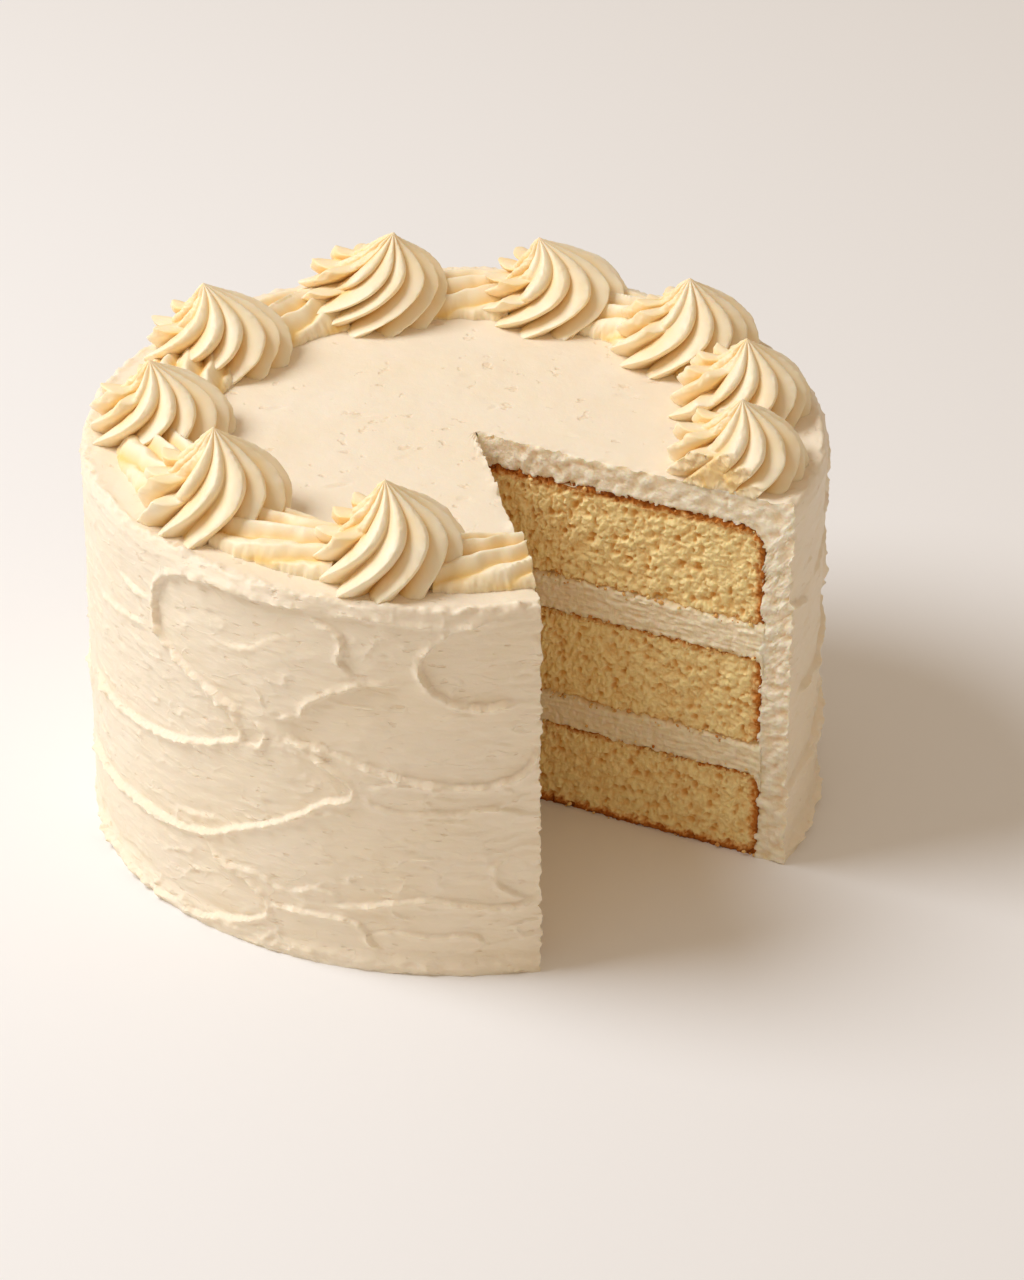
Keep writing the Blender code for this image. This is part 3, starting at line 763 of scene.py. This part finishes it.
def buildSponge(name):
    look = layers[name]
    low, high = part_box(name)[0].z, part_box(name)[1].z
    outer = cake["spongeRadius"]
    shoulder = cake["topShoulder"] if name == "sponge_top" else cake["shoulder"]
    cell = crumbLook["cell"]
    mesh, along, across, turn = spunWedge(name + "_crumb", int(outer / cell), int((high - low) / cell),
                                          crumbLook["turnSteps"])
    r = along * outer
    upper = high - shoulderDrop(r, outer, shoulder)
    z = low + across * (upper - low)
    xy, angle = seat(r, turn)
    hollow = np.zeros(len(r))
    crust = np.zeros(len(r))
    rng = np.random.default_rng(int(40 + look["shift"]))
    for face, side in enumerate((turn < 0.001, turn > 0.999)):
        chosen = np.flatnonzero(side)
        layer = np.full(len(chosen), 20.0 * face + look["shift"])
        p = np.column_stack([r[chosen] / mm, layer, z[chosen] / mm])
        clump = crevices(p, crumbLook["clump"] / mm)
        grain = crevices(p, crumbLook["grain"] / mm)
        pores = poreDepths(p, (0, low / mm), (outer / mm, high / mm), rng)
        out = crumbLook["clumpHeight"] * (clump - 0.8) + crumbLook["grainHeight"] * (grain - 0.7)
        out += 0.5 * lumps(p, 5.0, 2, 9.0) + 0.3 * lumps(p, 1.9, 2, 14.0) + 0.12 * lumps(p, 0.8, 2, 19.0)
        out -= pores
        # crust from the nearest baked edge, with an uneven width
        uneven = 1 + 0.45 * lumps(p, 3.5, 3, 27.0)
        speckle = 0.28 * lumps(p, 0.9, 2, 37.0)
        toTop, toBottom = (upper[chosen] - z[chosen]) / mm, (z[chosen] - low) / mm
        toSide = (outer - r[chosen]) / mm
        baked = np.zeros(len(chosen))
        for gap, edge in ((toTop, "top"), (toSide, "side"), (toBottom, "bottom")):
            width, dark = look[edge]
            baked = np.maximum(baked, dark * np.clip(1 - gap / (width * uneven), 0, 1) ** 0.8)
        baked = np.clip(baked + speckle * (baked > 0.03) * 1.2, 0, 1.2)
        tipFade = smoothStep(0.4, 5.0, r[chosen] / mm)
        edgeFade = np.clip(np.minimum(np.minimum(toTop, toBottom), toSide) / 1.2, 0.15, 1)
        out = np.clip(out, -2.2, 1.0) * tipFade - 0.35 * (1 - edgeFade)
        xy[chosen] += cutNormal(turn[chosen]) * (out * mm)[:, None]
        # painted shade in the pores and cracks of the cut crumb
        hollow[chosen] = np.clip(-0.08 - out * 0.55, 0, 0.85)
        crust[chosen] = baked
        # the layer's own edges wander where crumb and cream tore each other
        toJoin = np.minimum(toTop, toBottom * (low > mm) + 9 * (low <= mm))
        nearEdge = np.clip(1 - toJoin / 3.0, 0, 1)
        z[chosen] += 1.1 * mm * nearEdge * lumps(p, 2.8, 3, 61.0) * smoothStep(1, 4, r[chosen] / mm)
    shapeWedge(mesh, xy, z, hollow=hollow, crust=crust)
    settle(addPiece(mesh, [vanillaSponge, vanillaSponge], 75), "sponge", name)


for layerName in layers:
    buildSponge(layerName)
say("sponges")


fillingLook = {
    "cell": 0.42 * mm * coarse,
    "smear": (7.0, 7.0, 0.8),          # mm, streaks the knife drags along the cream
    "smearHeight": 0.28,               # mm
    "bulge": 0.35,                     # mm, the cream stands a little proud of the crumb
    "raggedness": 1.7,                 # mm, how far its edges wander over the crumb
}


def buildFilling(name, sponge):
    look = fillingLook
    low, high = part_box(sponge)[1].z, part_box(name)[1].z
    outer = cake["spongeRadius"] + cake["bite"]
    reach = 1.1 * mm
    mesh, along, across, turn = spunWedge(name + "_cream", int(outer / look["cell"]),
                                          int((high - low + 2 * reach) / look["cell"]),
                                          crumbLook["turnSteps"])
    r = along * outer
    bottom = low - reach - shoulderDrop(r, outer, cake["shoulder"])
    z = bottom + across * (high + reach - bottom)
    xy, angle = seat(r, turn)
    hollow = np.zeros(len(r))
    chosen = np.flatnonzero((turn < 0.001) | (turn > 0.999))
    face = np.where(turn[chosen] < 0.5, 0.0, 50.0)
    p = np.column_stack([r[chosen] / mm, face + low / mm, z[chosen] / mm])
    streaks = look["smearHeight"] * lumps(p, look["smear"], 3, 2.0) * 1.3
    rough = 0.28 * lumps(p, 1.8, 3, 12.0) + 0.4 * np.clip(lumps(p, 3.2, 2, 22.0), 0, 1)
    toEdge = np.minimum(z[chosen] - bottom[chosen], high + reach - z[chosen]) / mm
    wander = look["raggedness"] * (0.2 + lumps(p, 2.6, 3, 32.0))
    out = streaks + rough + look["bulge"] - 1.8 * np.clip(1 - (toEdge - wander * 0.6) / 1.6, 0, 2)
    tipFade = smoothStep(0.4, 5.0, r[chosen] / mm)
    out = np.clip(out, -2.5, 1.3) * tipFade
    xy[chosen] += cutNormal(turn[chosen]) * (out * mm)[:, None]
    # painted shade where the filling's cut face is pushed in
    hollow[chosen] = np.clip(0.3 - out * 0.6, 0, 1)
    shapeWedge(mesh, xy, z, hollow=hollow)
    settle(addPiece(mesh, [fillingCream, fillingCream], 75), "filling_cream", name)


buildFilling("filling_lower", "sponge_bottom")
buildFilling("filling_upper", "sponge_middle")
say("fillings")


crumbs = {
    "count": 620,                      # on both cut faces
    "size": (0.25, 0.75),              # mm, radius
    "bands": ((0.6, 0.08), (27.0, 0.3), (37.0, 0.2), (65.0, 0.3), (76.0, 0.2), (106.0, 0.06)),
    "spread": 1.5,                     # mm above and below a boundary between layers
    "proud": (-0.1, 0.55),             # mm that a crumb's middle stands out of the cut face
}


def buildCrumbs():
    # loose crumb the knife dragged over the cream, mostly along the edges of the layers
    m = crumbs
    rng = np.random.default_rng(77)
    bm = bmesh.new()
    crust = []
    levels = np.array([b[0] for b in m["bands"]])
    shares = np.array([b[1] for b in m["bands"]])
    for k in range(m["count"]):
        turn = np.array([0.0 if rng.random() < 0.5 else 1.0])
        z = rng.choice(levels, p=shares / shares.sum()) + rng.normal(0, m["spread"] * 0.6)
        r = np.array([rng.uniform(3, 96.5) * mm])
        size = m["size"][0] + (m["size"][1] - m["size"][0]) * rng.random() ** 2
        z = max(z, size)
        xy = seat(r, turn)[0] + cutNormal(turn) * rng.uniform(*m["proud"]) * mm
        squash = Matrix.Diagonal((rng.uniform(0.7, 1.3), rng.uniform(0.7, 1.3), rng.uniform(0.6, 1.1), 1))
        roll = Matrix.Rotation(rng.uniform(0, 2 * pi), 4, Vector(rng.normal(0, 1, 3)).normalized())
        place = Matrix.Translation((xy[0][0], xy[0][1], z * mm))
        bmesh.ops.create_icosphere(bm, subdivisions=1, radius=size * mm, matrix=place @ roll @ squash)
        crust += [max(0, rng.normal(0.3, 0.22))] * 12
    bmesh.ops.recalc_face_normals(bm, faces=bm.faces)
    mesh = freshMesh("cut_face_crumbs", bm)
    paintValue(mesh, "crust", crust)
    # each crumb takes an even quarter of the pore shade colour, as its golden tone
    paintValue(mesh, "hollow", np.full(len(crust), 0.25))
    settle(addPiece(mesh, [vanillaSponge]), "sponge")


buildCrumbs()
say("crumbs")


piping = {
    "ring": 82.8 * mm,                 # middles of the rosettes lie on this circle
    "sink": 0.5 * mm,                  # pressed into the coat by this much
    "ridges": 12,
    "valley": 0.68,                    # groove radius as a share of the crest radius
    "valleyPlace": 0.58,               # groove's place between two crests, so that ridges lean over
    "scoop": 0.22,                     # 1 scoops the faces out between crests, 0 rounds the ridges
    "columns": int(18 / coarse),       # mesh columns to each ridge
    "rows": int(92 / coarse),
    "droop": 0.6 * mm,                 # crests hang down by this much
    "flare": 0.02,                     # feet spread by this share
    "tornFrom": radians(105),          # the nozzle broke off on this side, leaving steps
    "tornTo": radians(232),
    "tornStep": 0.30,                  # how far a step cuts in, as a share of the radius
    # crest radius at each height, as shares of the whole radius and height
    "outline": ((0.0, 0.975), (0.07, 1.0), (0.17, 1.0), (0.33, 0.965), (0.50, 0.85), (0.64, 0.66),
                (0.76, 0.43), (0.86, 0.23), (0.94, 0.09), (1.0, 0.0)),
    # polar angle on the ring, crest radius, height (mm), turn of the first ridge, twist of the
    # ridges from foot to peak, lean of the peak towards +X (mm)
    "rosettes": ((-101.4, 21.0, 27.0, 21, 66, -1.2), (-141.9, 21.0, 27.2, 12, 66, 0.3),
                 (-179.2, 20.5, 22.6, 25, 70, -2.8), (145.8, 21.4, 23.6, 8, 72, -4.5),
                 (108.1, 22.2, 24.6, 17, 92, 7.2), (69.0, 22.2, 23.6, 3, 92, -5.5),
                 (36.2, 21.4, 24.0, 28, 70, 1.0), (8.6, 20.2, 22.6, 14, 66, 1.0),
                 (-17.2, 20.2, 22.1, 6, 62, 1.0)),
}


def ridgeShape(phase):
    # 1 on a crest and 0 in the groove after it, for a place between two crests from 0 to 1
    down = phase / piping["valleyPlace"]
    up = (1 - phase) / (1 - piping["valleyPlace"])
    fall = np.clip(np.where(phase < piping["valleyPlace"], down, up), 0, 1)
    scooped, rounded = (1 - fall) ** 1.3, 1 - fall ** 2
    return piping["scoop"] * scooped + (1 - piping["scoop"]) * rounded


def rosettePoints(unit, index):
    # places for the points of a unit sphere, wrapped over a leaning, twisting star
    m = piping
    polar, radius, height, start, twist, lean = m["rosettes"][index]
    radius, height, lean = radius * mm, height * mm, lean * mm
    rng = np.random.default_rng(300 + index)
    # rows: even steps along the outline, then a flat underside
    outline = smoothLine([(r * radius, t * height) for t, r in m["outline"]], 0.4 * mm, 0)
    walked = np.concatenate([[0], np.cumsum(np.hypot(*np.diff(outline, axis=0).T))])
    down = np.arccos(np.clip(unit[:, 2], -1, 1)) / pi
    onOutline = np.clip(1 - down / 0.9, 0, 1) * walked[-1]
    t = np.clip(np.interp(onOutline, walked, outline[:, 1]) / height, 0, 1)
    share = np.interp(onOutline, walked, outline[:, 0]) / radius
    underside = np.clip((down - 0.9) / 0.1, 0, 1)
    # columns: each keeps to its ridge and crowds towards the crest
    around = (np.arctan2(unit[:, 1], unit[:, 0]) % (2 * pi)) / (2 * pi) * m["ridges"]
    ridge = np.floor(around + 1e-6)
    phase = np.clip(around - ridge, 0, 1)
    phase = phase - 0.55 * np.sin(2 * pi * phase) / (2 * pi)
    shape = ridgeShape(phase)
    owner = (ridge + (phase > m["valleyPlace"])).astype(int) % m["ridges"]
    wobble = rng.normal(0, 1, (m["ridges"], 5))
    turned = radians(twist) * (1 - (1 - t ** 1.3) ** 1.9)
    azimuth = (ridge + phase) * 2 * pi / m["ridges"] + radians(start) + turned
    azimuth += np.radians(2.2) * wobble[owner, 0] * np.sin(pi * t) * shape
    # crest and groove radius
    crest = share * (1 + 0.025 * wobble[owner, 1])
    valley = m["valley"] + 0.06 * t + 0.07 * np.exp(-(t / 0.08) ** 2)
    crest = crest * (1 + m["flare"] * np.exp(-(t / 0.09) ** 2) * shape)
    # steps where the swirl broke off, with a small tooth of cream at the end of each ridge
    side = azimuth % (2 * pi)
    torn = smoothStep(m["tornFrom"] - 0.3, m["tornFrom"] + 0.2, side)
    torn = torn * (1 - smoothStep(m["tornTo"] - 0.2, m["tornTo"] + 0.3, side))
    stepAt = (0.50 + 0.11 * np.clip(wobble[:, 2], -1.3, 1.3))[owner]
    step = smoothStep(stepAt, stepAt + 0.045, t) * (1 - smoothStep(0.80, 0.96, t))
    crest = crest * (1 - m["tornStep"] * torn * step)
    tooth = np.exp(-((t - stepAt + 0.012) / 0.035) ** 2) * torn * shape ** 1.5
    r = crest * radius * (valley + (1 - valley) * shape)
    z = t * height - m["droop"] * shape * np.sin(pi * np.clip(t * 1.15, 0, 1)) + 1.6 * mm * tooth
    z = np.maximum(z, 0)
    r = r * (1 - underside)
    x, y = r * np.cos(azimuth), r * np.sin(azimuth)
    # uneven pressure, ragged crests and torn edges
    p = np.column_stack([x, y, z]) / mm + 40.0 * index
    swell = 1 + 0.035 * lumps(p, 11, 2, 1.0)
    ragged = 0.22 * lumps(p, 1.7, 2, 2.0) * shape ** 4 * smoothStep(0.0, 0.1, r / radius)
    crumbly = 0.40 * lumps(p, 1.6, 2, 3.0) + 0.45 * lumps(p, 3.2, 1, 5.0)
    ragged += crumbly * torn * smoothStep(0.3, 0.5, t) * (1 - smoothStep(0.85, 0.95, t))
    foot = 0.7 * lumps(p, 1.9, 2, 4.0) * np.exp(-(t / 0.08) ** 2) * (1 - underside)
    grown = swell + (ragged + foot) * mm / np.maximum(r, 2 * mm)
    x, y = x * grown + lean * t ** 2, y * grown
    z = z + 0.25 * mm * ragged
    # painted shade: golden in the grooves between ridges, most near the foot, and in the broken-off steps
    hollow = (1 - shape) ** 1.6 * (0.85 - 0.4 * t) + 0.25 * torn * smoothStep(0.35, 0.5, t)
    polar = radians(polar)
    base = np.array([m["ring"] * cos(polar), m["ring"] * sin(polar), cake["top"] - m["sink"]])
    return np.column_stack([x, y, z]) + base, np.clip(hollow, 0, 1)


def sliceOff(bm, point, outward):
    # cut a closed mesh at a plane, close it, and refine the new face enough for a torn surface
    cut = bmesh.ops.bisect_plane(bm, geom=bm.verts[:] + bm.edges[:] + bm.faces[:], plane_co=point,
                                 plane_no=outward, clear_outer=True, dist=0.00001)
    rim = [g for g in cut["geom_cut"] if isinstance(g, bmesh.types.BMEdge)]
    filled = bmesh.ops.edgeloop_fill(bm, edges=rim)["faces"]
    bmesh.ops.triangulate(bm, faces=filled)

    def onPlane(v):
        return abs((v.co - point).dot(outward)) < 0.00002

    for _ in range(6):
        caps = [f for f in bm.faces if all(onPlane(v) for v in f.verts)]
        inner = {e for f in caps for e in f.edges if e.calc_length() > 0.9 * mm}
        bmesh.ops.subdivide_edges(bm, edges=list(inner), cuts=1)
        bmesh.ops.triangulate(bm, faces=[f for f in bm.faces if all(onPlane(v) for v in f.verts)])
    return [v for v in bm.verts if onPlane(v) and all(onPlane(w) for e in v.link_edges for w in e.verts)]


def buildRosette(index):
    m = piping
    bm = bmesh.new()
    bmesh.ops.create_uvsphere(bm, u_segments=m["ridges"] * m["columns"], v_segments=m["rows"], radius=1.0)
    mesh = freshMesh("rosette_%d_swirl" % (index + 1), bm)
    points, hollow = rosettePoints(readPoints(mesh), index)
    writePoints(mesh, points)
    paintValue(mesh, "hollow", hollow)
    if index == 8:  # the last rosette is cut by the knife
        bm = bmesh.new()
        bm.from_mesh(mesh)
        normal = Vector((sin(cake["cutRight"]), -cos(cake["cutRight"]), 0))
        for v in sliceOff(bm, Vector((*cake["tip"], 0)), normal):
            v.co += normal * (noise.fractal(v.co / (3.0 * mm), 0.8, 2.1, 3) * 1.1 * mm + 0.3 * mm)
        bmesh.ops.recalc_face_normals(bm, faces=bm.faces)
        bm.to_mesh(mesh)
        bm.free()
    settle(addPiece(mesh, [pipedCream], 80), "piped_cream", "rosette_%d" % (index + 1))


for rosetteIndex in range(len(piping["rosettes"])):
    buildRosette(rosetteIndex)
say("rosettes")


bands = {
    "width": 26.0 * mm,
    "height": 8.2 * mm,
    "ribs": 3.8,
    "valley": 0.60,                    # groove height as a share of the rib height
    "drift": 1.3,                      # ribs slide across by this many ribs from end to end
    "acrossSteps": int(72 / coarse),
    "alongSteps": int(64 / coarse),
    "overlap": 8.5,                    # degrees by which a band ends inside its rosettes
    "pairs": ((0, 1), (1, 2), (2, 3), (3, 4), (4, 5), (5, 6)),
}


def buildBand(number, start, end, toCut):
    m = bands
    name = "piped_band_%d" % number
    mesh, across, up, along = spunWedge(name + "_ribs", m["acrossSteps"], 3, m["alongSteps"])
    q = across * 2 - 1
    ring = piping["ring"] + q * m["width"] / 2
    stop = np.full(len(q), end)
    if toCut:
        stop = seat(ring, np.ones(len(q)))[1]
    angle = start + (stop - start) * along
    p = np.column_stack([ring * np.cos(angle), ring * np.sin(angle), 0 * q]) / mm + 17.0 * number
    # ribs run along the band, sliding across it a little
    place = (q * 0.5 + 0.5) * m["ribs"] + m["drift"] * (along - 0.5) + 0.18 * lumps(p, 8, 2, 1.0)
    place += 0.37 * number
    ribIndex = np.floor(place)
    shape = ridgeShape(1 - (place - ribIndex)) ** 1.3
    strength = 1 + 0.12 * lumps(np.column_stack([ribIndex * 7.0, angle * 12, 0 * q]), 2.0, 1, number)
    dome = np.sqrt(np.clip(1 - (0.985 * q) ** 2, 0, 1))
    height = m["height"] * dome * strength * (m["valley"] + (1 - m["valley"]) * shape)
    height += 0.09 * mm * lumps(p, 1.7, 2, 2.0) * shape ** 3
    edge = np.clip(np.abs(q) - 0.7, 0, 1) / 0.3
    ring = ring + np.sign(q) * edge * (0.9 * lumps(p, 3.5, 3, 3.0) + 0.15 * lumps(p, 1.3, 2, 8.0)) * mm
    z = cake["top"] - 0.5 * mm + up * (height + 0.5 * mm)
    xy = np.column_stack([ring * np.cos(angle), ring * np.sin(angle)])
    # painted shade in the grooves between the ribs, on the band's upper surface
    hollow = (1 - shape) ** 1.5 * 0.85 * up
    if toCut:
        cutEnd = np.flatnonzero(along > 0.999)
        torn = tornRelief(ring[cutEnd], z[cutEnd], np.ones(len(cutEnd)), 9.0)
        xy[cutEnd] += cutNormal(np.ones(len(cutEnd))) * (torn * 0.6 * mm)[:, None]
    shapeWedge(mesh, xy, z, hollow=hollow)
    settle(addPiece(mesh, [pipedCream, pipedCream], 70), "piped_cream", name)


ringAngles = [radians(row[0]) % (2 * pi) for row in piping["rosettes"]]
buildBand(1, ringAngles[0] + radians(bands["overlap"]), 0, True)
for bandNumber, (first, second) in enumerate(bands["pairs"], start=2):
    bandStart, bandEnd = ringAngles[second], ringAngles[first]
    if bandStart > bandEnd:
        bandStart -= 2 * pi
    buildBand(bandNumber, bandStart + radians(bands["overlap"]), bandEnd - radians(bands["overlap"]), False)
say("bands")


studio = {
    "cameraPlace": (16.3 * mm, -1265.3 * mm, 770.1 * mm),
    "cameraTarget": (16.3 * mm, 0.0, 46.7 * mm),
    "lens": 141.3,                     # mm on a 36 mm sensor
    "floor": toLinear("#EFEEED"),
    "world": toLinear("#FFE9D0"),
    "worldStrength": 0.49,
    "keyPlace": (-1.08, 0.02, 1.34),   # metres: high on the left
    "keySize": 1.0,
    "keyPower": 24.2,
    "keyColour": toLinear("#F3F8FF"),
}


def aim(obj, target):
    direction = Vector(target) - obj.location
    obj.rotation_euler = direction.to_track_quat("-Z", "Y").to_euler()


def buildStudio():
    s = studio
    scene = bpy.context.scene
    camera = bpy.data.objects.new("camera", bpy.data.cameras.new("camera"))
    camera.data.lens = s["lens"]
    camera.data.sensor_width = 36
    camera.location = s["cameraPlace"]
    aim(camera, s["cameraTarget"])
    camera.data.clip_end = 20
    scene.collection.objects.link(camera)
    scene.camera = camera

    bm = bmesh.new()
    bmesh.ops.create_grid(bm, x_segments=8, y_segments=8, size=4.0)
    paper = bpy.data.materials.new("palePaper")
    paper.use_nodes = True
    shader = paper.node_tree.nodes["Principled BSDF"]
    shader.inputs["Base Color"].default_value = s["floor"]
    shader.inputs["Roughness"].default_value = 0.7
    shader.inputs["Specular IOR Level"].default_value = 0.2
    addPiece(freshMesh("floor", bm), [paper])

    world = bpy.data.worlds.new("studio")
    scene.world = world
    world.use_nodes = True
    background = world.node_tree.nodes["Background"]
    background.inputs["Color"].default_value = s["world"]
    background.inputs["Strength"].default_value = s["worldStrength"]

    key = bpy.data.objects.new("key", bpy.data.lights.new("key", "AREA"))
    key.data.shape = "DISK"
    key.data.size = s["keySize"]
    key.data.energy = s["keyPower"]
    key.data.color = s["keyColour"][:3]
    key.location = s["keyPlace"]
    aim(key, (0, 0, 0.06))
    scene.collection.objects.link(key)
    scene.view_settings.view_transform = "Standard"


buildStudio()
say("studio")
